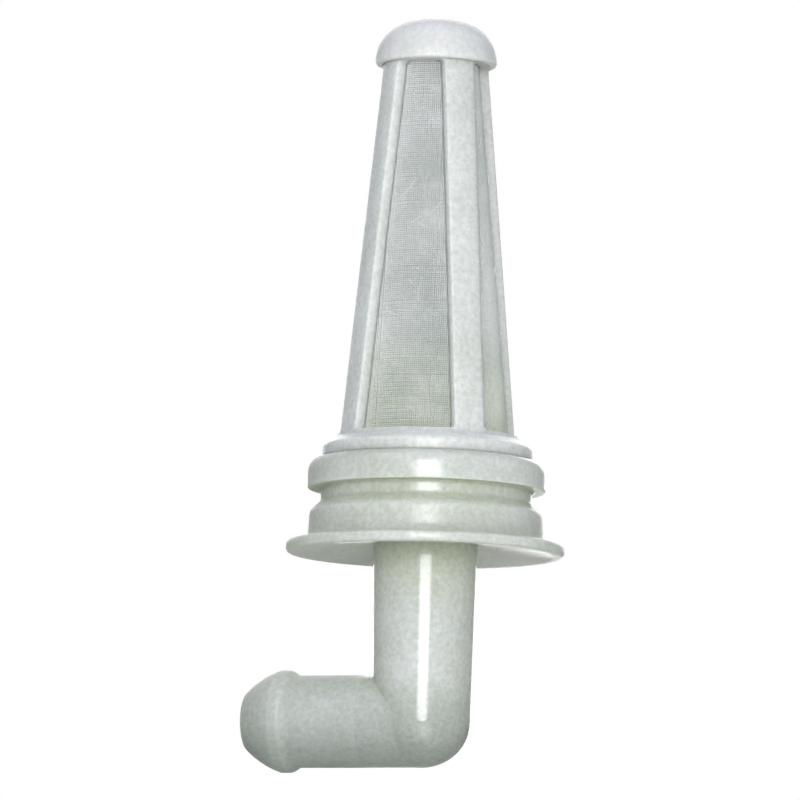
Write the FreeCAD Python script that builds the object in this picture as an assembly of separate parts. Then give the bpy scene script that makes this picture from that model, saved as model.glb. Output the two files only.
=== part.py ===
"""Tank strainer with an elbow outlet: an elbow body, a push-in cage, its woven sleeve and its end cap.

Lengths are millimetres. +Z runs up the strainer and the outlet points along -X. Heights are measured
from the flange's seating face, and main() then lowers every piece so that the origin is on the axis in
the middle of the collar's upper land.
"""

import FreeCAD
import Part
import math
import os

Vector = FreeCAD.Vector
ORIGIN = Vector(0, 0, 0)
UP = Vector(0, 0, 1)
ALONG_OUTLET = Vector(-1, 0, 0)

# Height of the finished frame's origin above the flange's seating face.
ORIGIN_Z = 6.45

# Flange: a flat disc with a rounded rim, hollowed below towards the stem.
FLANGE_R = 14.4
FLANGE_BOTTOM_Z = -1.15
FLANGE_RIM_ROUND = 0.42
FLANGE_ROOT_ROUND = 0.9
DISH_R = 13.3
DISH_TOP_Z = -0.15

# Collar: two lands with a seal groove between them.
LOWER_LAND_FOOT_R = 12.2
LOWER_LAND_TOP_R = 12.05
LOWER_LAND_TOP_Z = 3.05
UPPER_LAND_R = 12.3
GROOVE_R = 10.93
GROOVE_FLOOR_BOTTOM_Z = 4.2
GROOVE_TOP_Z = 5.54
GROOVE_CORNER_ROUND = 0.35
GROOVE_LIP_ROUND = 0.8
LAND_EDGE_ROUND = 0.12
COLLAR_TOP_Z = 8.66
COLLAR_SHOULDER_ROUND = 1.4

# Socket in the collar that the strainer pushes into.
SOCKET_R = 9.5
SOCKET_FLOOR_Z = 1.5
SOCKET_FLOOR_ROUND = 0.3
SOCKET_CHAMFER = 0.3
FLOOR_FUNNEL = 0.9

# Stem and elbow.
STEM_TOP_R = 5.38
ELBOW_R = 5.03
ELBOW_DEPTH = 4.8
OUTLET_Z = -18.34
STEM_BORE_R = 3.2
OUTLET_BORE_R = 2.8

# Hose barb, measured along the outlet from the strainer's axis.
BARB_TUBE_R = 4.78
BARB_CREST_R = 5.29
BARB_TUBE_END = 13.0
BARB_CREST_START = 14.3
BARB_CREST_END = 15.1
BARB_NOSE_MID = (16.95, 4.42)
BARB_END = 18.7
BARB_END_R = 3.05

# Strainer cage: a spigot, a stepped base ring, four ribs and a neck for the cap.
SPIGOT_CLEARANCE = 0.05
SPIGOT_R = SOCKET_R - SPIGOT_CLEARANCE
SPIGOT_BOTTOM_Z = 2.5
SPIGOT_CHAMFER = 0.45
RING_BORE_R = 7.45
STEP_R = 10.88
STEP_TOP_Z = 9.9
STEP_EDGE_ROUND = 0.35
CONE_FOOT_Z = 10.8
CONE_FOOT_ROUND = 0.35
CONE_REFERENCE_Z = 13.86
CONE_REFERENCE_R = 9.17
CONE_SLOPE = 0.1005
CAGE_WALL = 1.1
RIB_WIDTH = 3.3
RIB_COUNT = 4
WINDOW_BOTTOM_Z = 11.1
WINDOW_TOP_Z = 49.85
WINDOW_CORNER_ROUND = 0.5
NECK_R = 5.5
NECK_BORE_R = 4.0
NECK_FOOT_Z = 50.0
NECK_TOP_Z = 51.5
NECK_EDGE_ROUND = 0.3

# Woven sleeve, a cone against the inside of the ribs.
SLEEVE_GAP = 0.02
SLEEVE_WALL = 0.26
SLEEVE_BOTTOM_Z = 8.9
SLEEVE_TOP_Z = 50.4

# End cap: a domed shell that slips over the cage's neck and rests on its top.
CAP_R = 6.3
CAP_LIP_Z = 49.9
CAP_LIP_ROUND = 0.32
CAP_TOP_Z = 54.5
CAP_SHOULDER_ROUND = 4.25
CAP_SOCKET_R = 5.58
CAP_HOLLOW_R = 4.7
CAP_WALL = 1.3

TOOL_REACH = 30.0
TOUCH = 1e-6


def cone_r(z):
    """Outer radius of the cage at height z."""
    return CONE_REFERENCE_R - CONE_SLOPE * (z - CONE_REFERENCE_Z)


def line(start, end):
    return Part.LineSegment(start, end).toShape()


def arc(start, middle, end):
    return Part.Arc(start, middle, end).toShape()


def on_profile(radius, height):
    """A point of a profile that turns about Z."""
    return Vector(radius, 0, height)


def rounded_outline(corners):
    """Edges through (radius, height, rounding) corners, closed, with each rounding a tangent arc."""
    points = [on_profile(r, z) for r, z, _ in corners]
    spans, arcs = [], []
    for i, (_, _, rounding) in enumerate(corners):
        corner = points[i]
        if rounding == 0:
            spans.append((corner, corner))
            continue
        back = (points[i - 1] - corner).normalize()
        ahead = (points[(i + 1) % len(points)] - corner).normalize()
        half = back.getAngle(ahead) / 2
        reach = rounding / math.tan(half)
        centre = corner + (back + ahead).normalize() * (rounding / math.sin(half))
        start, end = corner + back * reach, corner + ahead * reach
        arcs.append(arc(start, centre + (corner - centre).normalize() * rounding, end))
        spans.append((start, end))
    ends = [(spans[i - 1][1], spans[i][0]) for i in range(len(spans))]
    return arcs + [line(start, end) for start, end in ends if not start.isEqual(end, TOUCH)]


def turned(edges, axis=UP):
    """The solid made by turning a closed outline about an axis through the origin."""
    face = Part.Face(Part.Wire(Part.__sortEdges__(edges)))
    solid = face.revolve(ORIGIN, axis, 360)
    return solid if solid.Volume > 0 else solid.reversed()


def collar_and_flange():
    """Flange, lands and seal groove as one ring, with the push-in socket open on top."""
    corners = [
        (STEM_BORE_R + FLOOR_FUNNEL, SOCKET_FLOOR_Z, 0),
        (SOCKET_R, SOCKET_FLOOR_Z, SOCKET_FLOOR_ROUND),
        (SOCKET_R, COLLAR_TOP_Z - SOCKET_CHAMFER, 0),
        (SOCKET_R + SOCKET_CHAMFER, COLLAR_TOP_Z, 0),
        (UPPER_LAND_R, COLLAR_TOP_Z, COLLAR_SHOULDER_ROUND),
        (UPPER_LAND_R, GROOVE_TOP_Z, LAND_EDGE_ROUND),
        (GROOVE_R, GROOVE_TOP_Z, GROOVE_CORNER_ROUND),
        (GROOVE_R, GROOVE_FLOOR_BOTTOM_Z, GROOVE_CORNER_ROUND),
        (LOWER_LAND_TOP_R, LOWER_LAND_TOP_Z, GROOVE_LIP_ROUND),
        (LOWER_LAND_FOOT_R, 0, FLANGE_ROOT_ROUND),
        (FLANGE_R, 0, FLANGE_RIM_ROUND),
        (FLANGE_R, FLANGE_BOTTOM_Z, FLANGE_RIM_ROUND),
        (DISH_R, FLANGE_BOTTOM_Z, FLANGE_RIM_ROUND),
        (STEM_TOP_R, DISH_TOP_Z, 0),
        (STEM_BORE_R, DISH_TOP_Z, 0),
        (STEM_BORE_R, SOCKET_FLOOR_Z - FLOOR_FUNNEL, 0),
    ]
    return turned(rounded_outline(corners))


def stem():
    """Tapered stem that ends in the elbow's ball, flattened to meet the underside of the outlet tube."""
    centre = on_profile(0, OUTLET_Z)
    ball_side = centre + Vector(ELBOW_R, 0, 0)
    ball_bottom = centre - UP * ELBOW_DEPTH
    ball = Part.Ellipse(ball_side, ball_bottom, centre)
    edges = [
        line(on_profile(0, DISH_TOP_Z), on_profile(STEM_TOP_R, DISH_TOP_Z)),
        line(on_profile(STEM_TOP_R, DISH_TOP_Z), ball_side),
        ball.toShape(0, math.pi / 2),
        line(ball_bottom, on_profile(0, DISH_TOP_Z)),
    ]
    return turned(edges)


def hose_barb():
    """Outlet tube with one bead and a tapered nose, along -X at the elbow's height."""

    def along(distance, radius):
        return Vector(-distance, 0, radius)

    rear = (BARB_TUBE_END + BARB_CREST_START) / 2
    rear_start = along(BARB_TUBE_END, BARB_TUBE_R)
    rear_end = along(BARB_CREST_START, BARB_CREST_R)
    rear_curve = Part.BezierCurve()
    rear_curve.setPoles([rear_start, along(rear, BARB_TUBE_R), along(rear, BARB_CREST_R), rear_end])
    edges = [
        line(along(0, 0), along(0, BARB_TUBE_R)),
        line(along(0, BARB_TUBE_R), rear_start),
        rear_curve.toShape(),
        line(rear_end, along(BARB_CREST_END, BARB_CREST_R)),
        arc(along(BARB_CREST_END, BARB_CREST_R), along(*BARB_NOSE_MID), along(BARB_END, BARB_END_R)),
        line(along(BARB_END, BARB_END_R), along(BARB_END, 0)),
        line(along(BARB_END, 0), along(0, 0)),
    ]
    barb = turned(edges, ALONG_OUTLET)
    barb.translate(UP * OUTLET_Z)
    return barb


def flow_passage():
    """Stem bore with a rounded foot, and the outlet bore that meets it."""
    height = SOCKET_FLOOR_Z + 1 - OUTLET_Z
    elbow = UP * OUTLET_Z
    stem_bore = Part.makeCylinder(STEM_BORE_R, height, elbow)
    foot = Part.makeSphere(STEM_BORE_R, elbow)
    outlet_bore = Part.makeCylinder(OUTLET_BORE_R, BARB_END + 1, elbow, ALONG_OUTLET)
    return stem_bore.fuse([foot, outlet_bore])


def elbow_body():
    """One moulding: collar, flange, stem, elbow and hose barb."""
    outside = collar_and_flange().fuse([stem(), hose_barb()])
    return outside.cut(flow_passage()).removeSplitter()


def window_tool(quarter):
    """Cutter for one window, between two ribs whose sides are parallel to their own middles."""
    half_rib = RIB_WIDTH / 2
    height = WINDOW_TOP_Z - WINDOW_BOTTOM_Z
    tool = Part.makeBox(TOOL_REACH, TOOL_REACH, height, Vector(half_rib, half_rib, WINDOW_BOTTOM_Z))
    beside_ribs = [
        edge
        for edge in tool.Edges
        if abs(edge.CenterOfMass.z - WINDOW_BOTTOM_Z - height / 2) > height / 4
        and (abs(edge.BoundBox.XMax - half_rib) < TOUCH or abs(edge.BoundBox.YMax - half_rib) < TOUCH)
    ]
    tool = tool.makeFillet(WINDOW_CORNER_ROUND, beside_ribs)
    tool.rotate(ORIGIN, UP, 45 + quarter * 360 / RIB_COUNT)
    return tool


def strainer_cage():
    """Spigot, stepped base ring, ribs and neck as one moulding with four windows."""
    corners = [
        (RING_BORE_R, SPIGOT_BOTTOM_Z, 0),
        (SPIGOT_R - SPIGOT_CHAMFER, SPIGOT_BOTTOM_Z, 0),
        (SPIGOT_R, SPIGOT_BOTTOM_Z + 2 * SPIGOT_CHAMFER, 0),
        (SPIGOT_R, COLLAR_TOP_Z, 0),
        (STEP_R, COLLAR_TOP_Z, 0),
        (STEP_R, STEP_TOP_Z, STEP_EDGE_ROUND),
        (cone_r(CONE_FOOT_Z), CONE_FOOT_Z, CONE_FOOT_ROUND),
        (NECK_R, NECK_FOOT_Z, 0),
        (NECK_R, NECK_TOP_Z, NECK_EDGE_ROUND),
        (NECK_BORE_R, NECK_TOP_Z, 0),
        (NECK_BORE_R, SLEEVE_TOP_Z, 0),
        (cone_r(SLEEVE_TOP_Z) - CAGE_WALL, SLEEVE_TOP_Z, 0),
        (cone_r(SLEEVE_BOTTOM_Z) - CAGE_WALL, SLEEVE_BOTTOM_Z, 0),
        (RING_BORE_R, SLEEVE_BOTTOM_Z, 0),
    ]
    blank = turned(rounded_outline(corners))
    return blank.cut([window_tool(quarter) for quarter in range(RIB_COUNT)])


def mesh_sleeve():
    """Woven sleeve as a thin cone that stands on the ring's ledge inside the ribs."""

    def outer_r(z):
        return cone_r(z) - CAGE_WALL - SLEEVE_GAP

    corners = [
        (outer_r(SLEEVE_BOTTOM_Z), SLEEVE_BOTTOM_Z, 0),
        (outer_r(SLEEVE_TOP_Z), SLEEVE_TOP_Z, 0),
        (outer_r(SLEEVE_TOP_Z) - SLEEVE_WALL, SLEEVE_TOP_Z, 0),
        (outer_r(SLEEVE_BOTTOM_Z) - SLEEVE_WALL, SLEEVE_BOTTOM_Z, 0),
    ]
    return turned(rounded_outline(corners))


def end_cap():
    """Domed cap with an overhanging lip, hollowed in two steps: a socket for the neck and a dome."""
    outside = turned(
        rounded_outline(
            [
                (0, CAP_LIP_Z, 0),
                (CAP_R, CAP_LIP_Z, CAP_LIP_ROUND),
                (CAP_R, CAP_TOP_Z, CAP_SHOULDER_ROUND),
                (0, CAP_TOP_Z, 0),
            ]
        )
    )
    socket = Part.makeCylinder(CAP_SOCKET_R, NECK_TOP_Z - CAP_LIP_Z, UP * CAP_LIP_Z)
    ceiling_z = CAP_TOP_Z - CAP_WALL
    dome = turned(
        rounded_outline(
            [
                (0, NECK_TOP_Z, 0),
                (CAP_HOLLOW_R, NECK_TOP_Z, 0),
                (CAP_HOLLOW_R, ceiling_z, ceiling_z - NECK_TOP_Z),
                (0, ceiling_z, 0),
            ]
        )
    )
    return outside.cut([socket, dome])


NODES = {
    "elbow_body": elbow_body,
    "strainer_cage": strainer_cage,
    "mesh_sleeve": mesh_sleeve,
    "end_cap": end_cap,
}


def main():
    os.makedirs("parts", exist_ok=True)
    for name, make in NODES.items():
        shape = make()
        shape.translate(UP * -ORIGIN_Z)
        shape.exportStep(f"parts/{name}.step")
        print(f"{name}: valid {shape.isValid()}, solids {len(shape.Solids)}, volume {shape.Volume:.1f} mm3")


main()
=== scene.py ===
"""Tank strainer with an elbow hose barb: milky moulded plastic round a woven mesh, on its CAD frame."""

import logging
import math
from dataclasses import dataclass, field
from enum import Enum

import bpy
import numpy as np
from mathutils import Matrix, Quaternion, Vector


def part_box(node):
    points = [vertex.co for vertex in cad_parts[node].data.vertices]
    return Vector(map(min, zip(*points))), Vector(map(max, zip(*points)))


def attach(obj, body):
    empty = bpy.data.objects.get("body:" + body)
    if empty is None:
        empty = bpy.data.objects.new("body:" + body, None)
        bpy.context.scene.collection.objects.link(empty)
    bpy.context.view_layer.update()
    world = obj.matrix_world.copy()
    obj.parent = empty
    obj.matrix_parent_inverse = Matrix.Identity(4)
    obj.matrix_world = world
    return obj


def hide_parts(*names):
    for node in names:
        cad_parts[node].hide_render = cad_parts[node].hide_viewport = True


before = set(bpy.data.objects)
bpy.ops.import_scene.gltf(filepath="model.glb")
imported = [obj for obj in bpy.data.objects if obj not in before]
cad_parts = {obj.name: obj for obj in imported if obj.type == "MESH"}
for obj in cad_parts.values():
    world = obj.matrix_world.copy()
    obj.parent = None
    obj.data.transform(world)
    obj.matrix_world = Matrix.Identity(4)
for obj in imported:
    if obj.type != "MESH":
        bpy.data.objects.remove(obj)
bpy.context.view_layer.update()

MM = 0.001
LOG = logging.getLogger("tank_strainer")

Colour = tuple[float, float, float]

# Places of the colour sockets in a Mix node, whose socket names repeat for each data type.
MIX_FIRST_COLOUR, MIX_SECOND_COLOUR, MIX_COLOUR_OUT = 6, 7, 2

# How far red, green and blue travel inside the plastic, next to one another.
SCATTER_SHARES = (0.95, 1.0, 0.9)


def linear(red: int, green: int, blue: int) -> Colour:
    """Turn a display colour into the linear values that shaders use.

    Args:
        red: Display red, 0 to 255.
        green: Display green, 0 to 255.
        blue: Display blue, 0 to 255.

    Returns:
        The three linear values, 0 to 1.
    """
    return tuple(
        value / 255 / 12.92 if value < 11 else ((value / 255 + 0.055) / 1.055) ** 2.4
        for value in (red, green, blue)
    )


class Pattern(Enum):
    """Surface effects that several finishes share, each a shader node group built once."""

    CLOUDS = "clouds_in_the_resin"
    SKIN = "moulded_skin"
    HANDLING = "handling_marks"


@dataclass
class PatternBook:
    """Builds the shared node groups and places them in materials.

    Attributes:
        curdle_fineness: How many times finer the curdle is than the broad clouds.
        rub_scale: Noise scale across the rubs.
        rub_turn: Direction of the rubs, as turns in radians.
        rub_stretch: Noise scale along the rubs, next to across them.
        rub_wear: How dull a rub is, next to a dull patch.
        groups: The groups built so far.
    """

    curdle_fineness: float = 17.0
    rub_scale: float = 3000.0
    rub_turn: tuple[float, float, float] = (0.3, 0.5, 0.2)
    rub_stretch: float = 0.06
    rub_wear: float = 0.6
    groups: dict[Pattern, bpy.types.NodeTree] = field(default_factory=dict)

    def build(self) -> None:
        """Build every pattern once."""
        self.groups[Pattern.CLOUDS] = self._clouds()
        self.groups[Pattern.SKIN] = self._skin()
        self.groups[Pattern.HANDLING] = self._handling()

    def place(
        self,
        tree: bpy.types.NodeTree,
        pattern: Pattern,
        coordinates: bpy.types.NodeSocket,
        **values: float | tuple[float, ...],
    ) -> bpy.types.Node:
        """Put a pattern in a material with its own values.

        Args:
            tree: The material's node tree.
            pattern: Which pattern to place.
            coordinates: The socket that gives the surface coordinates.
            **values: Values for the group's inputs, with underscores for spaces.

        Returns:
            The group node.
        """
        node = tree.nodes.new("ShaderNodeGroup")
        node.node_tree = self.groups[pattern]
        tree.links.new(coordinates, node.inputs["Vector"])
        for name, value in values.items():
            socket = node.inputs[name.replace("_", " ")]
            socket.default_value = (*value, 1.0) if isinstance(value, tuple) else value
        return node

    @staticmethod
    def _new_group(
        pattern: Pattern,
        inputs: dict[str, tuple[str, float | tuple[float, ...] | None]],
        outputs: dict[str, str],
    ) -> tuple[bpy.types.NodeTree, bpy.types.Node, bpy.types.Node]:
        """Make an empty group with named sockets.

        Args:
            pattern: The pattern, whose value names the group.
            inputs: Socket name to its kind and default.
            outputs: Socket name to its kind.

        Returns:
            The group tree, its input node and its output node.
        """
        tree = bpy.data.node_groups.new(pattern.value, "ShaderNodeTree")
        for name, (kind, default) in inputs.items():
            socket = tree.interface.new_socket(name=name, in_out="INPUT", socket_type=kind)
            if default is not None:
                socket.default_value = default
        for name, kind in outputs.items():
            tree.interface.new_socket(name=name, in_out="OUTPUT", socket_type=kind)
        return tree, tree.nodes.new("NodeGroupInput"), tree.nodes.new("NodeGroupOutput")

    @staticmethod
    def _noise(
        tree: bpy.types.NodeTree,
        coordinates: bpy.types.NodeSocket,
        scale: bpy.types.NodeSocket | float,
        detail: float,
        roughness: float = 0.55,
    ) -> bpy.types.NodeSocket:
        """Add a noise texture.

        Args:
            tree: The tree to add it to.
            coordinates: Where the noise is read.
            scale: A number, or a socket that gives it.
            detail: Octaves of finer noise.
            roughness: How strong the finer octaves are.

        Returns:
            The noise value's socket.
        """
        noise = tree.nodes.new("ShaderNodeTexNoise")
        noise.inputs["Detail"].default_value = detail
        noise.inputs["Roughness"].default_value = roughness
        tree.links.new(coordinates, noise.inputs["Vector"])
        if isinstance(scale, bpy.types.NodeSocket):
            tree.links.new(scale, noise.inputs["Scale"])
        else:
            noise.inputs["Scale"].default_value = scale
        return noise.outputs["Fac"]

    @staticmethod
    def _math(
        tree: bpy.types.NodeTree,
        operation: str,
        first: bpy.types.NodeSocket | float,
        second: bpy.types.NodeSocket | float,
    ) -> bpy.types.NodeSocket:
        """Add a math node.

        Args:
            tree: The tree to add it to.
            operation: Name of the operation, such as MULTIPLY.
            first: First value or socket.
            second: Second value or socket.

        Returns:
            The result's socket.
        """
        node = tree.nodes.new("ShaderNodeMath")
        node.operation = operation
        for socket, value in zip(node.inputs, (first, second)):
            if isinstance(value, bpy.types.NodeSocket):
                tree.links.new(value, socket)
            else:
                socket.default_value = value
        return node.outputs[0]

    @staticmethod
    def _remap(
        tree: bpy.types.NodeTree, value: bpy.types.NodeSocket, low: float, high: float
    ) -> bpy.types.NodeSocket:
        """Stretch a value so that low becomes 0 and high becomes 1, clamped.

        Args:
            tree: The tree to add the node to.
            value: The value's socket.
            low: Value that becomes 0.
            high: Value that becomes 1.

        Returns:
            The stretched value's socket.
        """
        node = tree.nodes.new("ShaderNodeMapRange")
        node.inputs["From Min"].default_value = low
        node.inputs["From Max"].default_value = high
        tree.links.new(value, node.inputs["Value"])
        return node.outputs["Result"]

    def _clouds(self) -> bpy.types.NodeTree:
        """Uneven milkiness: broad clouds with a finer curdle, between two colours.

        Returns:
            The group.
        """
        tree, start, end = self._new_group(
            Pattern.CLOUDS,
            {
                "Vector": ("NodeSocketVector", None),
                "Light": ("NodeSocketColor", (0.8, 0.8, 0.8, 1)),
                "Dark": ("NodeSocketColor", (0.7, 0.7, 0.7, 1)),
                "Scale": ("NodeSocketFloat", 120.0),
                "Curdle": ("NodeSocketFloat", 0.35),
            },
            {"Color": "NodeSocketColor"},
        )
        vector, scale = start.outputs["Vector"], start.outputs["Scale"]
        broad = self._remap(tree, self._noise(tree, vector, scale, 2.0), 0.36, 0.64)
        fine_scale = self._math(tree, "MULTIPLY", scale, self.curdle_fineness)
        fine = self._remap(tree, self._noise(tree, vector, fine_scale, 3.0, 0.7), 0.3, 0.7)
        blend = tree.nodes.new("ShaderNodeMix")
        tree.links.new(start.outputs["Curdle"], blend.inputs["Factor"])
        tree.links.new(broad, blend.inputs["A"])
        tree.links.new(fine, blend.inputs["B"])
        tint = tree.nodes.new("ShaderNodeMix")
        tint.data_type = "RGBA"
        tree.links.new(blend.outputs["Result"], tint.inputs["Factor"])
        tree.links.new(start.outputs["Dark"], tint.inputs[MIX_FIRST_COLOUR])
        tree.links.new(start.outputs["Light"], tint.inputs[MIX_SECOND_COLOUR])
        tree.links.new(tint.outputs[MIX_COLOUR_OUT], end.inputs["Color"])
        return tree

    def _skin(self) -> bpy.types.NodeTree:
        """Height of a moulded surface: slight sink waves under a fine orange peel.

        Returns:
            The group.
        """
        tree, start, end = self._new_group(
            Pattern.SKIN,
            {
                "Vector": ("NodeSocketVector", None),
                "Wave Scale": ("NodeSocketFloat", 160.0),
                "Peel Scale": ("NodeSocketFloat", 2200.0),
                "Peel": ("NodeSocketFloat", 0.2),
            },
            {"Height": "NodeSocketFloat"},
        )
        vector = start.outputs["Vector"]
        wave = self._noise(tree, vector, start.outputs["Wave Scale"], 1.0)
        peel = self._noise(tree, vector, start.outputs["Peel Scale"], 2.0)
        weighted = self._math(tree, "MULTIPLY", peel, start.outputs["Peel"])
        tree.links.new(self._math(tree, "ADD", wave, weighted), end.inputs["Height"])
        return tree

    def _handling(self) -> bpy.types.NodeTree:
        """Roughness that rises in dull patches and in a few long fine rubs.

        Returns:
            The group.
        """
        tree, start, end = self._new_group(
            Pattern.HANDLING,
            {
                "Vector": ("NodeSocketVector", None),
                "Polished": ("NodeSocketFloat", 0.15),
                "Dulled": ("NodeSocketFloat", 0.35),
                "Patch Scale": ("NodeSocketFloat", 260.0),
            },
            {"Roughness": "NodeSocketFloat"},
        )
        vector = start.outputs["Vector"]
        patches = self._remap(tree, self._noise(tree, vector, start.outputs["Patch Scale"], 1.0), 0.3, 0.75)
        stretch = tree.nodes.new("ShaderNodeMapping")
        stretch.inputs["Rotation"].default_value = self.rub_turn
        stretch.inputs["Scale"].default_value = (1.0, 1.0, self.rub_stretch)
        tree.links.new(vector, stretch.inputs["Vector"])
        streaks = self._noise(tree, stretch.outputs["Vector"], self.rub_scale, 2.0)
        rubs = self._math(tree, "MULTIPLY", self._remap(tree, streaks, 0.6, 0.74), self.rub_wear)
        worn = self._math(tree, "MAXIMUM", patches, rubs)
        mix = tree.nodes.new("ShaderNodeMix")
        tree.links.new(worn, mix.inputs["Factor"])
        tree.links.new(start.outputs["Polished"], mix.inputs["A"])
        tree.links.new(start.outputs["Dulled"], mix.inputs["B"])
        tree.links.new(mix.outputs["Result"], end.inputs["Roughness"])
        return tree


def ramp(
    tree: bpy.types.NodeTree, where: bpy.types.NodeSocket, axis: str, zero_mm: float, one_mm: float
) -> bpy.types.NodeSocket:
    """Add a mask that runs from 0 at one coordinate to 1 at another.

    Args:
        tree: The material's node tree.
        where: The surface coordinates.
        axis: X, Y or Z.
        zero_mm: Coordinate where the mask is 0.
        one_mm: Coordinate where it is 1.

    Returns:
        The mask's socket.
    """
    split = tree.nodes.new("ShaderNodeSeparateXYZ")
    tree.links.new(where, split.inputs["Vector"])
    mask = tree.nodes.new("ShaderNodeMapRange")
    mask.inputs["From Min"].default_value = zero_mm * MM
    mask.inputs["From Max"].default_value = one_mm * MM
    tree.links.new(split.outputs[axis], mask.inputs["Value"])
    return mask.outputs["Result"]


def apply_painted_shade(
    tree: bpy.types.NodeTree, unshaded: bpy.types.NodeSocket, mask: bpy.types.NodeSocket, painted_shade: Colour
) -> bpy.types.NodeSocket:
    """Multiply a colour by painted shade where a mask says so.

    Args:
        tree: The material's node tree.
        unshaded: The colour without the painted shade.
        mask: 0 for no painted shade, 1 for full painted shade.
        painted_shade: What full painted shade multiplies the colour by.

    Returns:
        The stained colour's socket.
    """
    mix = tree.nodes.new("ShaderNodeMix")
    mix.data_type = "RGBA"
    mix.blend_type = "MULTIPLY"
    tree.links.new(mask, mix.inputs["Factor"])
    tree.links.new(unshaded, mix.inputs[MIX_FIRST_COLOUR])
    mix.inputs[MIX_SECOND_COLOUR].default_value = (*painted_shade, 1)
    return mix.outputs[MIX_COLOUR_OUT]


@dataclass(frozen=True)
class DullBand:
    """A stretch of a moulding with its own roughness.

    Attributes:
        axis: X, Y or Z.
        low_mm: Coordinate where the stretch begins.
        high_mm: Coordinate where it ends.
        roughness: Its roughness.
        soft_mm: Half of the width over which it blends into the rest.
    """

    axis: str
    low_mm: float
    high_mm: float
    roughness: float
    soft_mm: float = 0.5

    def lay(
        self, tree: bpy.types.NodeTree, where: bpy.types.NodeSocket, rough: bpy.types.NodeSocket
    ) -> bpy.types.NodeSocket:
        """Blend the band into a roughness.

        Args:
            tree: The material's node tree.
            where: The surface coordinates.
            rough: Roughness outside the band.

        Returns:
            The blended roughness socket.
        """
        band = tree.nodes.new("ShaderNodeMath")
        band.operation = "MULTIPLY"
        starts = ramp(tree, where, self.axis, self.low_mm - self.soft_mm, self.low_mm + self.soft_mm)
        stops = ramp(tree, where, self.axis, self.high_mm + self.soft_mm, self.high_mm - self.soft_mm)
        tree.links.new(starts, band.inputs[0])
        tree.links.new(stops, band.inputs[1])
        mix = tree.nodes.new("ShaderNodeMix")
        tree.links.new(band.outputs[0], mix.inputs["Factor"])
        tree.links.new(rough, mix.inputs["A"])
        mix.inputs["B"].default_value = self.roughness
        return mix.outputs["Result"]


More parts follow.
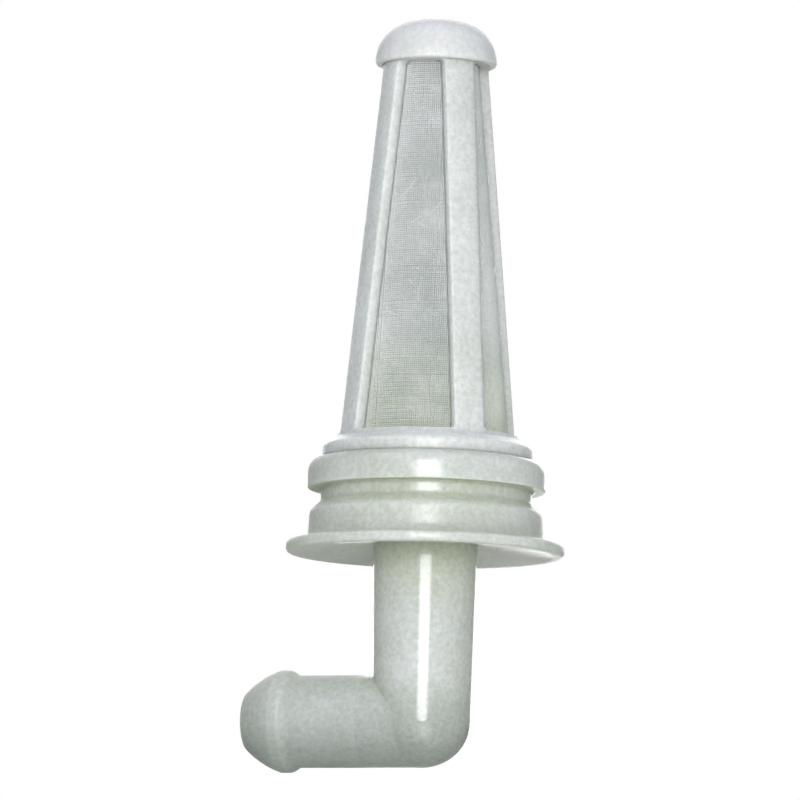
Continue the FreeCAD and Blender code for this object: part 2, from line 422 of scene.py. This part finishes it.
@dataclass(frozen=True)
class MilkyPlastic:
    """Unpigmented moulded plastic that scatters light below its surface.

    Attributes:
        name: Material name.
        light: Colour where the resin is cloudiest.
        dark: Colour where it is clearest.
        polished: Roughness of untouched surface.
        dulled: Roughness of rubbed surface.
        scatter_mm: How far light travels inside.
        peel: Strength of the orange peel.
        relief_mm: Height of the surface's waves.
        edge_mm: Radius that softens sharp moulded edges, 0 for none.
        edge_samples: Samples that find those edges.
        cloud_scale: Noise scale of the resin's clouds.
        curdle: Share of fine grain in the clouds.
        dull: Bands that came out of the mould duller.
        shaded_below_mm: Height where painted shade begins and the lower height where it is full, None for
            none.
        painted_shade: What full painted shade multiplies the colour by, darkening the lower parts.
        outline_shade: Painted shade: what the colour is multiplied by where the surface is seen edge on.
        outline_shade_blend: How far in from the outline the painted shade reaches.
        recess_shade: Painted greenish-yellow shade: what the colour is multiplied by in deep recesses.
        recess_mm: How near other surfaces are in a recess.
        recess_openness: Share of open surroundings where a recess counts as deep.
        recess_samples: Samples that find the recesses.
        refraction: Refractive index.
    """

    name: str
    light: Colour
    dark: Colour
    polished: float
    dulled: float
    scatter_mm: float
    peel: float = 0.2
    relief_mm: float = 0.02
    edge_mm: float = 0.0
    edge_samples: int = 6
    cloud_scale: float = 110.0
    curdle: float = 0.7
    dull: tuple[DullBand, ...] = ()
    # Painted shade towards the bottom, off unless a height is given.
    shaded_below_mm: tuple[float, float] | None = None
    painted_shade: Colour = (0.56, 0.59, 0.57)
    # Painted shade along the outline.
    outline_shade: Colour = (0.8, 0.83, 0.77)
    outline_shade_blend: float = 0.35
    # Painted greenish-yellow shade in deep recesses.
    recess_shade: Colour = (0.99, 1.01, 0.83)
    recess_mm: float = 8.0
    recess_openness: float = 0.25
    recess_samples: int = 8
    refraction: float = 1.49

    def material(self, book: PatternBook) -> bpy.types.Material:
        """Build the material.

        Args:
            book: The shared patterns.

        Returns:
            The finished material.
        """
        made = bpy.data.materials.new(self.name)
        made.use_nodes = True
        tree = made.node_tree
        shader = tree.nodes["Principled BSDF"]
        where = tree.nodes.new("ShaderNodeTexCoord").outputs["Object"]
        tree.links.new(self._resin(book, tree, where), shader.inputs["Base Color"])
        marks = book.place(tree, Pattern.HANDLING, where, Polished=self.polished, Dulled=self.dulled)
        rough = marks.outputs["Roughness"]
        for band in self.dull:
            rough = band.lay(tree, where, rough)
        tree.links.new(rough, shader.inputs["Roughness"])
        tree.links.new(self._relief(book, tree, where), shader.inputs["Normal"])
        shader.inputs["IOR"].default_value = self.refraction
        shader.inputs["Subsurface Weight"].default_value = 1.0
        shader.inputs["Subsurface Radius"].default_value = SCATTER_SHARES
        shader.inputs["Subsurface Scale"].default_value = self.scatter_mm * MM
        return made

    def _resin(
        self, book: PatternBook, tree: bpy.types.NodeTree, where: bpy.types.NodeSocket
    ) -> bpy.types.NodeSocket:
        """Colour the resin: clouds, then painted shade towards the bottom, along the outline and in deep
        recesses.

        Args:
            book: The shared patterns.
            tree: The material's node tree.
            where: The surface coordinates.

        Returns:
            The colour's socket.
        """
        clouds = book.place(
            tree,
            Pattern.CLOUDS,
            where,
            Light=self.light,
            Dark=self.dark,
            Scale=self.cloud_scale,
            Curdle=self.curdle,
        )
        resin = clouds.outputs["Color"]
        # Painted shade, darker towards the bottom.
        if self.shaded_below_mm is not None:
            resin = apply_painted_shade(tree, resin, ramp(tree, where, "Z", *self.shaded_below_mm), self.painted_shade)
        # Painted shade where the surface is seen edge on.
        facing = tree.nodes.new("ShaderNodeLayerWeight")
        facing.inputs["Blend"].default_value = self.outline_shade_blend
        resin = apply_painted_shade(tree, resin, facing.outputs["Facing"], self.outline_shade)
        # Painted shade in deep recesses, found by ambient occlusion.
        openness = tree.nodes.new("ShaderNodeAmbientOcclusion")
        openness.samples = self.recess_samples
        openness.inputs["Distance"].default_value = self.recess_mm * MM
        depth = tree.nodes.new("ShaderNodeMapRange")
        depth.inputs["From Min"].default_value = 1.0
        depth.inputs["From Max"].default_value = self.recess_openness
        tree.links.new(openness.outputs["AO"], depth.inputs["Value"])
        return apply_painted_shade(tree, resin, depth.outputs["Result"], self.recess_shade)

    def _relief(
        self, book: PatternBook, tree: bpy.types.NodeTree, where: bpy.types.NodeSocket
    ) -> bpy.types.NodeSocket:
        """Raise the moulded skin and soften the edges.

        Args:
            book: The shared patterns.
            tree: The material's node tree.
            where: The surface coordinates.

        Returns:
            The normal's socket.
        """
        skin = book.place(tree, Pattern.SKIN, where, Peel=self.peel)
        bump = tree.nodes.new("ShaderNodeBump")
        bump.inputs["Strength"].default_value = 1.0
        bump.inputs["Distance"].default_value = self.relief_mm * MM
        tree.links.new(skin.outputs["Height"], bump.inputs["Height"])
        if self.edge_mm:
            edge = tree.nodes.new("ShaderNodeBevel")
            edge.samples = self.edge_samples
            edge.inputs["Radius"].default_value = self.edge_mm * MM
            tree.links.new(edge.outputs["Normal"], bump.inputs["Normal"])
        return bump.outputs["Normal"]


@dataclass(frozen=True)
class Filament:
    """Fine drawn thread, for the weave and for loose lint.

    Attributes:
        name: Material name.
        light: Colour of the palest stretches.
        dark: Colour of the greyest stretches.
        roughness: Surface roughness.
        scatter_mm: How far light travels inside.
        scatter_weight: Share of the light that goes inside.
        cloud_scale: Noise scale of the paler and greyer stretches.
        curdle: Share of fine grain in them.
        shaded_below_mm: Height where painted shade on the lower threads begins and the lower height where
            it is full.
        painted_shade: What full painted shade multiplies the colour by.
        side_shade_mm: X where painted shade on the +X side begins and where it is full.
        side_shade: What the full painted side shade multiplies the colour by.
        refraction: Refractive index.
    """

    name: str
    light: Colour
    dark: Colour
    roughness: float
    scatter_mm: float
    scatter_weight: float = 0.6
    cloud_scale: float = 130.0
    curdle: float = 0.55
    # Painted greenish shade towards the bottom of the windows.
    shaded_below_mm: tuple[float, float] = (16.0, 4.0)
    painted_shade: Colour = (0.9, 0.93, 0.8)
    # Painted shade towards the +X side.
    side_shade_mm: tuple[float, float] = (-2.5, 2.5)
    side_shade: Colour = (0.88, 0.89, 0.89)
    refraction: float = 1.53

    def material(self, book: PatternBook) -> bpy.types.Material:
        """Build the material.

        Args:
            book: The shared patterns.

        Returns:
            The finished material.
        """
        made = bpy.data.materials.new(self.name)
        made.use_nodes = True
        tree = made.node_tree
        shader = tree.nodes["Principled BSDF"]
        where = tree.nodes.new("ShaderNodeTexCoord").outputs["Object"]
        clouds = book.place(
            tree,
            Pattern.CLOUDS,
            where,
            Light=self.light,
            Dark=self.dark,
            Scale=self.cloud_scale,
            Curdle=self.curdle,
        )
        # Painted shade: darker towards the bottom of the windows and towards the +X side.
        low = ramp(tree, where, "Z", *self.shaded_below_mm)
        side = ramp(tree, where, "X", *self.side_shade_mm)
        colour = apply_painted_shade(tree, clouds.outputs["Color"], low, self.painted_shade)
        tree.links.new(apply_painted_shade(tree, colour, side, self.side_shade), shader.inputs["Base Color"])
        shader.inputs["Roughness"].default_value = self.roughness
        shader.inputs["IOR"].default_value = self.refraction
        shader.inputs["Subsurface Weight"].default_value = self.scatter_weight
        shader.inputs["Subsurface Radius"].default_value = SCATTER_SHARES
        shader.inputs["Subsurface Scale"].default_value = self.scatter_mm * MM
        return made


COLLAR_LOWER_LAND = DullBand("Z", -7.2, -2.6, 0.3)
COLLAR_UPPER_LAND = DullBand("Z", -2.6, 3.0, 0.19)
OUTLET = DullBand("X", -25.0, -6.0, 0.5, soft_mm=1.0)
# Painted bluish shade along the outline of the cage and cap.
BLUISH_OUTLINE_SHADE = (0.9, 0.93, 0.98)

BODY_PLASTIC = MilkyPlastic(
    name="body_plastic",
    light=linear(215, 218, 223),
    dark=linear(182, 188, 180),
    polished=0.11,
    dulled=0.17,
    scatter_mm=1.6,
    edge_mm=0.3,
    dull=(COLLAR_LOWER_LAND, COLLAR_UPPER_LAND, OUTLET),
    # Painted shade over the elbow and outlet, darker towards the bottom.
    shaded_below_mm=(-20.5, -28.0),
)
CAGE_PLASTIC = MilkyPlastic(
    name="cage_plastic",
    light=linear(228, 230, 233),
    dark=linear(190, 196, 191),
    polished=0.28,
    dulled=0.36,
    scatter_mm=2.2,
    edge_mm=0.45,
    outline_shade=BLUISH_OUTLINE_SHADE,
    # Faint painted shade in the cage's recesses.
    recess_shade=(0.97, 0.98, 0.94),
)
CAP_PLASTIC = MilkyPlastic(
    name="cap_plastic",
    light=linear(232, 234, 238),
    dark=linear(202, 208, 205),
    polished=0.36,
    dulled=0.44,
    scatter_mm=2.0,
    outline_shade=BLUISH_OUTLINE_SHADE,
)
MESH_THREAD = Filament(
    name="mesh_thread",
    light=linear(246, 249, 251),
    dark=linear(206, 213, 210),
    roughness=0.5,
    scatter_mm=0.12,
)
LINT_FIBRE = Filament(
    name="lint", light=linear(250, 252, 251), dark=linear(240, 243, 242), roughness=0.6, scatter_mm=0.1
)


@dataclass
class MouldedPiece:
    """A CAD piece that keeps its own mesh and gets a finish.

    Attributes:
        node: The CAD node's name.
        finish: The plastic it is moulded in.
    """

    node: str
    finish: MilkyPlastic

    def dress(self, book: PatternBook) -> bpy.types.Object:
        """Put the finish in the node's material slots.

        Args:
            book: The shared patterns.

        Returns:
            The dressed object.
        """
        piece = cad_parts[self.node]
        piece.data.materials.clear()
        piece.data.materials.append(self.finish.material(book))
        LOG.info("%s dressed in %s", self.node, self.finish.name)
        return piece


@dataclass
class Cone:
    """The tapered surface that the weave lies on, read from the CAD sleeve.

    Attributes:
        low_z: Height of the sleeve's lower end.
        high_z: Height of its upper end.
        low_r: Outer radius at the lower end.
        high_r: Outer radius at the upper end.
    """

    low_z: float
    high_z: float
    low_r: float
    high_r: float

    @classmethod
    def of_node(cls, node: str) -> "Cone":
        """Measure a conical CAD node.

        Args:
            node: The node's name.

        Returns:
            Its cone.
        """
        points = np.array([v.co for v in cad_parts[node].data.vertices])
        low, high = points[:, 2].min(), points[:, 2].max()
        reach = np.hypot(points[:, 0], points[:, 1])
        near = 0.1 * MM
        return cls(
            float(low),
            float(high),
            float(reach[points[:, 2] < low + near].max()),
            float(reach[points[:, 2] > high - near].max()),
        )

    def radius(self, z: np.ndarray | float) -> np.ndarray | float:
        """Outer radius at height z."""
        share = (z - self.low_z) / (self.high_z - self.low_z)
        return self.low_r + (self.high_r - self.low_r) * share


@dataclass
class TubeBatch:
    """Collects thin tubes and makes one mesh of them.

    Attributes:
        sides: Corners of each tube's section.
        vertices: Corners of every tube so far.
        faces: Faces of every tube so far.
        count: How many corners there are so far.
    """

    sides: int
    vertices: list[np.ndarray] = field(default_factory=list)
    faces: list[list[int]] = field(default_factory=list)
    count: int = 0

    def add(self, points: np.ndarray, normals: np.ndarray, radius: float) -> None:
        """Add one tube along a line of points.

        Args:
            points: The line, one row a point.
            normals: Surface normal at each point.
            radius: Tube radius in metres.
        """
        along = np.gradient(points, axis=0)
        along /= np.linalg.norm(along, axis=1, keepdims=True)
        across = np.cross(along, normals)
        across /= np.linalg.norm(across, axis=1, keepdims=True)
        outward = np.cross(across, along)
        turns = np.arange(self.sides) * 2 * math.pi / self.sides
        cosine, sine = np.cos(turns)[None, :, None], np.sin(turns)[None, :, None]
        ring = cosine * outward[:, None] + sine * across[:, None]
        self.vertices.append((points[:, None] + radius * ring).reshape(-1, 3))
        steps = np.arange(len(points) - 1)[:, None] * self.sides
        side = np.arange(self.sides)[None, :]
        following = (side + 1) % self.sides
        ahead = steps + self.sides
        corners = [steps + side, steps + following, ahead + following, ahead + side]
        quads = np.stack(corners, axis=-1).reshape(-1, 4)
        first = np.arange(self.sides)[::-1]
        last = (len(points) - 1) * self.sides + np.arange(self.sides)
        self.faces += [(face + self.count).tolist() for face in (*quads, first, last)]
        self.count += len(points) * self.sides

    def make(self, name: str, material: bpy.types.Material) -> bpy.types.Object:
        """Make the object.

        Args:
            name: Object name.
            material: Its material.

        Returns:
            The new object, linked to the scene.
        """
        mesh = bpy.data.meshes.new(name)
        mesh.from_pydata(np.concatenate(self.vertices).tolist(), [], self.faces)
        mesh.polygons.foreach_set("use_smooth", [True] * len(mesh.polygons))
        mesh.materials.append(material)
        made = bpy.data.objects.new(name, mesh)
        bpy.context.scene.collection.objects.link(made)
        return made


SILL_ABOVE_SLEEVE = 2.2 * MM


class Window(Enum):
    """The cage's four windows, each with the direction of its middle in degrees from -Y towards +X."""

    FRONT = 0
    RIGHT = 90
    BACK = 180
    LEFT = 270


@dataclass
class WovenMesh:
    """Plain-woven filter cloth behind the cage's windows, one panel to a window.

    Attributes:
        cone: The sleeve's outer surface.
        low_z: Height of the windows' sill.
        high_z: Height of the windows' top.
        pitch: Distance between threads.
        thread_r: Thread radius.
        crimp: How far a thread swings to either side as it passes over and under.
        rib_width: Width of the ribs between the windows.
        tuck: How far the cloth runs on behind the ribs, sill and top.
        stray: How far threads typically lie off their even pitch.
        sides: Corners of a thread's section.
        fewest_points: Shortest thread that is worth weaving, in points.
        seed: Seed for the stray.
    """

    cone: Cone
    low_z: float
    high_z: float
    pitch: float = 0.21 * MM
    thread_r: float = 0.072 * MM
    crimp: float = 0.052 * MM
    rib_width: float = 3.3 * MM
    tuck: float = 0.35 * MM
    stray: float = 0.018 * MM
    sides: int = 3
    fewest_points: int = 3
    seed: int = 3

    def half_width(self, z: np.ndarray | float) -> np.ndarray | float:
        """Half of the cloth's width, along the cone, at height z."""
        reach = self.cone.radius(z)
        return reach * (math.pi / 4 - np.arcsin(self.rib_width / 2 / reach)) + self.tuck

    def place(
        self, window: Window, u: np.ndarray, z: np.ndarray, lift: np.ndarray | float
    ) -> tuple[np.ndarray, np.ndarray]:
        """Lay flat cloth coordinates on the cone.

        Args:
            window: Which window.
            u: Distance sideways from the window's middle.
            z: Height.
            lift: Distance out of the cloth's middle surface.

        Returns:
            The points and the surface normals there.
        """
        reach = self.cone.radius(z) - self.thread_r - self.crimp
        angle = math.radians(window.value) + u / reach
        out = np.stack([np.sin(angle), -np.cos(angle), np.zeros_like(angle)], axis=1)
        points = out * (reach + lift)[:, None]
        points[:, 2] = z
        return points, out

    def panel(self, window: Window, material: bpy.types.Material) -> bpy.types.Object:
        """Weave one window's cloth.

        Args:
            window: Which window.
            material: The thread's material.

        Returns:
            The panel's object.
        """
        batch = TubeBatch(self.sides)
        random = np.random.default_rng(self.seed + window.value)
        start_z = self.low_z - self.tuck
        rows = int((self.high_z + self.tuck - start_z) / self.pitch)
        fine_z = start_z + np.arange(2 * rows + 1) * self.pitch / 2
        columns = int(self.half_width(start_z) / self.pitch)
        for column in range(-columns, columns + 1):
            u = np.full_like(fine_z, column * self.pitch + random.normal(0, self.stray))
            keep = self.half_width(fine_z) >= abs(column) * self.pitch
            if keep.sum() < self.fewest_points:
                continue
            lift = self.crimp * np.cos(math.pi * ((fine_z - start_z) / self.pitch + column))
            batch.add(*self.place(window, u[keep], fine_z[keep], lift[keep]), self.thread_r)
        for row in range(rows + 1):
            height = start_z + row * self.pitch
            reach = int(self.half_width(height) / self.pitch * 2)
            u = np.arange(-reach, reach + 1) * self.pitch / 2
            lift = -self.crimp * np.cos(math.pi * (u / self.pitch + row))
            strayed = np.full_like(u, height + random.normal(0, self.stray))
            batch.add(*self.place(window, u, strayed, lift), self.thread_r)
        piece = batch.make(f"mesh_panel_{window.name.lower()}", material)
        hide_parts("mesh_sleeve")
        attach(piece, "strainer")
        LOG.info("%s woven with %d faces", piece.name, len(piece.data.polygons))
        return piece


@dataclass
class Lint:
    """Short hairs and specks caught on the cloth.

    Attributes:
        cloth: The cloth that they lie on.
        hairs: How many hairs lie on each window.
        specks: How many specks lie on each window.
        hair_r: Hair radius.
        hair_length: Shortest and longest hair.
        hair_heading: Greatest tilt of a hair from upright, in radians.
        hair_bend: Greatest sideways bow of a hair, as a share of its length.
        hair_points: Points along a hair.
        hair_heights: Lowest and highest place of a hair, as shares of the window's height.
        hair_margin: How far hairs keep from the ribs.
        speck_r: Half of the longest speck.
        speck_shrink: Size of the smallest speck, next to the largest.
        speck_thickness: A speck's radius, as a share of half of its length.
        speck_heights: Lowest and highest place of a speck, as shares of the window's height.
        speck_margin: How far specks keep from the ribs.
        sides: Corners of a hair's or speck's section.
        seed: Seed for their places.
    """

    cloth: WovenMesh
    hairs: int = 9
    specks: int = 14
    hair_r: float = 0.042 * MM
    hair_length: tuple[float, float] = (0.5 * MM, 2.2 * MM)
    hair_heading: float = 1.2
    hair_bend: float = 0.5
    hair_points: int = 9
    hair_heights: tuple[float, float] = (0.15, 0.95)
    hair_margin: float = 1.4 * MM
    speck_r: float = 0.12 * MM
    speck_shrink: float = 0.5
    speck_thickness: float = 0.6
    speck_heights: tuple[float, float] = (0.1, 0.97)
    speck_margin: float = 1.05 * MM
    sides: int = 5
    seed: int = 7

    def strew(self, material: bpy.types.Material) -> bpy.types.Object:
        """Lay the hairs and specks on all four windows.

        Args:
            material: The lint's material.

        Returns:
            One object that holds them all.
        """
        random = np.random.default_rng(self.seed)
        batch = TubeBatch(self.sides)
        for window in Window:
            for _ in range(self.hairs):
                self._add_hair(batch, window, random)
            for _ in range(self.specks):
                self._add_speck(batch, window, random)
        piece = batch.make("lint_on_mesh", material)
        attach(piece, "strainer")
        LOG.info("lint strewn with %d faces", len(piece.data.polygons))
        return piece

    @property
    def on_top(self) -> float:
        """Distance from the cloth's middle surface to the top of its threads."""
        return self.cloth.crimp + self.cloth.thread_r

    def _height(self, shares: tuple[float, float], random: np.random.Generator) -> float:
        """Draw a height between two shares of the window's height."""
        return self.cloth.low_z + (self.cloth.high_z - self.cloth.low_z) * random.uniform(*shares)

    def _add_hair(self, batch: TubeBatch, window: Window, random: np.random.Generator) -> None:
        """Lay one bowed hair, its ends a little off the cloth.

        Args:
            batch: The tubes to add it to.
            window: Which window it lies on.
            random: Where its place and shape are drawn from.
        """
        z = self._height(self.hair_heights, random)
        room = float(self.cloth.half_width(z)) - self.hair_margin
        length = random.uniform(*self.hair_length)
        heading = random.uniform(-self.hair_heading, self.hair_heading)
        bend = random.uniform(-self.hair_bend, self.hair_bend)
        steps = np.linspace(-0.5, 0.5, self.hair_points)
        u = random.uniform(-room, room) + length * (np.sin(heading) * steps + bend * steps**2)
        heights = z + length * np.cos(heading) * steps
        lift = self.on_top + self.hair_r * (1 + 2 * np.abs(steps))
        batch.add(*self.cloth.place(window, u, heights, lift), self.hair_r)

    def _add_speck(self, batch: TubeBatch, window: Window, random: np.random.Generator) -> None:
        """Lay one speck, a short thick tube.

        Args:
            batch: The tubes to add it to.
            window: Which window it lies on.
            random: Where its place and size are drawn from.
        """
        z = self._height(self.speck_heights, random)
        room = float(self.cloth.half_width(z)) - self.speck_margin
        size = self.speck_r * random.uniform(self.speck_shrink, 1.0)
        u = random.uniform(-room, room) + np.array([-size, 0.0, size])
        placed = self.cloth.place(window, u, np.full_like(u, z), self.on_top)
        batch.add(*placed, size * self.speck_thickness)


@dataclass(frozen=True)
class Lamp:
    """A soft round lamp that faces the object.

    Attributes:
        name: Lamp name.
        aside: How far round the object it hangs from the camera, in degrees.
        elevation: Direction above the horizon, in degrees.
        distance: Distance from the camera's aim.
        size: Diameter of the lamp.
        watts: Power.
        colour: Colour of its light.
    """

    name: str
    aside: float
    elevation: float
    distance: float
    size: float
    watts: float
    colour: Colour = (1.0, 1.0, 1.0)


LAMPS = (
    Lamp("key", aside=1, elevation=4.1, distance=0.7, size=0.3, watts=2.6),
    Lamp("overhead", aside=-20, elevation=75, distance=0.9, size=0.8, watts=0.8),
    Lamp("front", aside=0, elevation=25, distance=0.8, size=0.6, watts=0.9),
    Lamp("back", aside=180, elevation=20, distance=0.8, size=0.8, watts=2.8),
    Lamp("low", aside=10, elevation=-40, distance=0.2, size=0.12, watts=0.085, colour=(0.97, 1.0, 0.8)),
)


@dataclass
class Studio:
    """Pale floor, soft light and camera.

    Attributes:
        collar_top_z: Height of the collar's top, from which the camera's aim is set.
        aim_above: Height of the aim above the collar's top.
        aim_left: How far the aim lies to the viewer's left of the strainer's axis.
        azimuth: Camera direction round the object, in degrees from -Y towards +X.
        elevation: Camera direction above the horizon, in degrees.
        roll: Camera roll, in degrees.
        distance: Camera distance.
        field_width: Width of what the camera sees at the aim.
        nearest: Nearest distance that the camera sees.
        farthest: Farthest distance that the camera sees.
        floor_z: Height of the floor, below the camera.
        floor_reach: How far the floor runs to each side.
        floor_seen: Even paleness of the floor to the camera.
        floor_cast: Paleness of the floor in the light that it throws back up.
        world_seen: Brightness of the surroundings to the camera.
        world_cast: Brightness of the surroundings in the light on the object.
    """

    collar_top_z: float
    aim_above: float = 6.24 * MM
    aim_left: float = 2.97 * MM
    azimuth: float = 17.6
    elevation: float = -6.9
    roll: float = 1.3
    distance: float = 0.856
    field_width: float = 82.7 * MM
    nearest: float = 0.01
    farthest: float = 20.0
    floor_z: float = -0.17
    floor_reach: float = 6.0
    floor_seen: float = 0.9
    floor_cast: float = 0.5
    world_seen: float = 1.0
    world_cast: float = 0.46

    @property
    def aim(self) -> Vector:
        """The point that the camera looks at.

        Returns:
            The point.
        """
        a = math.radians(self.azimuth)
        left = Vector((-math.cos(a), -math.sin(a), 0))
        return Vector((0, 0, self.collar_top_z + self.aim_above)) + left * self.aim_left

    @staticmethod
    def toward_viewer(azimuth: float, elevation: float) -> Vector:
        """Unit vector from the object towards a viewer in that direction."""
        a, e = math.radians(azimuth), math.radians(elevation)
        return Vector((math.sin(a) * math.cos(e), -math.cos(a) * math.cos(e), math.sin(e)))

    def add_camera(self) -> None:
        """Make the camera and set it as the scene's own."""
        data = bpy.data.cameras.new("camera")
        data.lens = data.sensor_width * self.distance / self.field_width
        data.clip_start, data.clip_end = self.nearest, self.farthest
        camera = bpy.data.objects.new("camera", data)
        bpy.context.scene.collection.objects.link(camera)
        back = self.toward_viewer(self.azimuth, self.elevation)
        camera.rotation_mode = "QUATERNION"
        camera.location = self.aim + back * self.distance
        level = (-back).to_track_quat("-Z", "Y")
        camera.rotation_quaternion = level @ Quaternion((0, 0, 1), math.radians(self.roll))
        bpy.context.scene.camera = camera
        LOG.info("camera placed")

    def add_lamp(self, lamp: Lamp) -> None:
        """Hang a lamp.

        Args:
            lamp: The lamp.
        """
        data = bpy.data.lights.new(lamp.name, "AREA")
        data.shape = "DISK"
        data.size = lamp.size
        data.energy = lamp.watts
        data.color = lamp.colour
        hung = bpy.data.objects.new(lamp.name, data)
        bpy.context.scene.collection.objects.link(hung)
        back = self.toward_viewer(self.azimuth + lamp.aside, lamp.elevation)
        hung.rotation_mode = "QUATERNION"
        hung.location = self.aim + back * lamp.distance
        hung.rotation_quaternion = (-back).to_track_quat("-Z", "Y")
        hung.visible_camera = False

    def add_world(self) -> None:
        """Fill the surroundings with white."""
        world = bpy.data.worlds.new("white_room")
        world.use_nodes = True
        bpy.context.scene.world = world
        tree = world.node_tree
        path = tree.nodes.new("ShaderNodeLightPath")
        mix = tree.nodes.new("ShaderNodeMix")
        mix.inputs["A"].default_value = self.world_cast
        mix.inputs["B"].default_value = self.world_seen
        tree.links.new(path.outputs["Is Camera Ray"], mix.inputs["Factor"])
        tree.links.new(mix.outputs["Result"], tree.nodes["Background"].inputs["Strength"])
        tree.nodes["Background"].inputs["Color"].default_value = (1, 1, 1, 1)

    def add_floor(self) -> None:
        """Lay the pale floor."""
        reach = self.floor_reach
        mesh = bpy.data.meshes.new("floor")
        outline = ((-reach, -reach), (reach, -reach), (reach, reach), (-reach, reach))
        corners = [(x, y, self.floor_z) for x, y in outline]
        mesh.from_pydata(corners, [], [(0, 1, 2, 3)])
        paint = bpy.data.materials.new("floor_paint")
        paint.use_nodes = True
        tree = paint.node_tree
        shader = tree.nodes["Principled BSDF"]
        grey = self.floor_cast
        shader.inputs["Base Color"].default_value = (grey, grey, grey, 1)
        shader.inputs["Roughness"].default_value = 0.9
        glow = tree.nodes.new("ShaderNodeEmission")
        glow.inputs["Strength"].default_value = self.floor_seen
        path = tree.nodes.new("ShaderNodeLightPath")
        either = tree.nodes.new("ShaderNodeMixShader")
        tree.links.new(path.outputs["Is Camera Ray"], either.inputs["Fac"])
        tree.links.new(shader.outputs["BSDF"], either.inputs[1])
        tree.links.new(glow.outputs["Emission"], either.inputs[2])
        tree.links.new(either.outputs["Shader"], tree.nodes["Material Output"].inputs["Surface"])
        mesh.materials.append(paint)
        floor = bpy.data.objects.new("floor", mesh)
        bpy.context.scene.collection.objects.link(floor)

    def build(self) -> None:
        """Build the whole studio."""
        bpy.context.scene.view_settings.view_transform = "Standard"
        self.add_camera()
        self.add_world()
        self.add_floor()
        for lamp in LAMPS:
            self.add_lamp(lamp)
        LOG.info("studio built")


def main() -> None:
    """Build the strainer and its studio, piece by piece."""
    logging.basicConfig(level=logging.INFO, format="%(name)s: %(message)s")
    book = PatternBook()
    book.build()
    moulded = (
        MouldedPiece("elbow_body", BODY_PLASTIC),
        MouldedPiece("strainer_cage", CAGE_PLASTIC),
        MouldedPiece("end_cap", CAP_PLASTIC),
    )
    for piece in moulded:
        piece.dress(book)
    cone = Cone.of_node("mesh_sleeve")
    cap_low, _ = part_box("end_cap")
    cloth = WovenMesh(cone, cone.low_z + SILL_ABOVE_SLEEVE, cap_low.z)
    thread = MESH_THREAD.material(book)
    for window in Window:
        cloth.panel(window, thread)
    Lint(cloth).strew(LINT_FIBRE.material(book))
    _, body_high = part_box("elbow_body")
    Studio(collar_top_z=body_high.z).build()


if __name__ == "__main__":
    main()
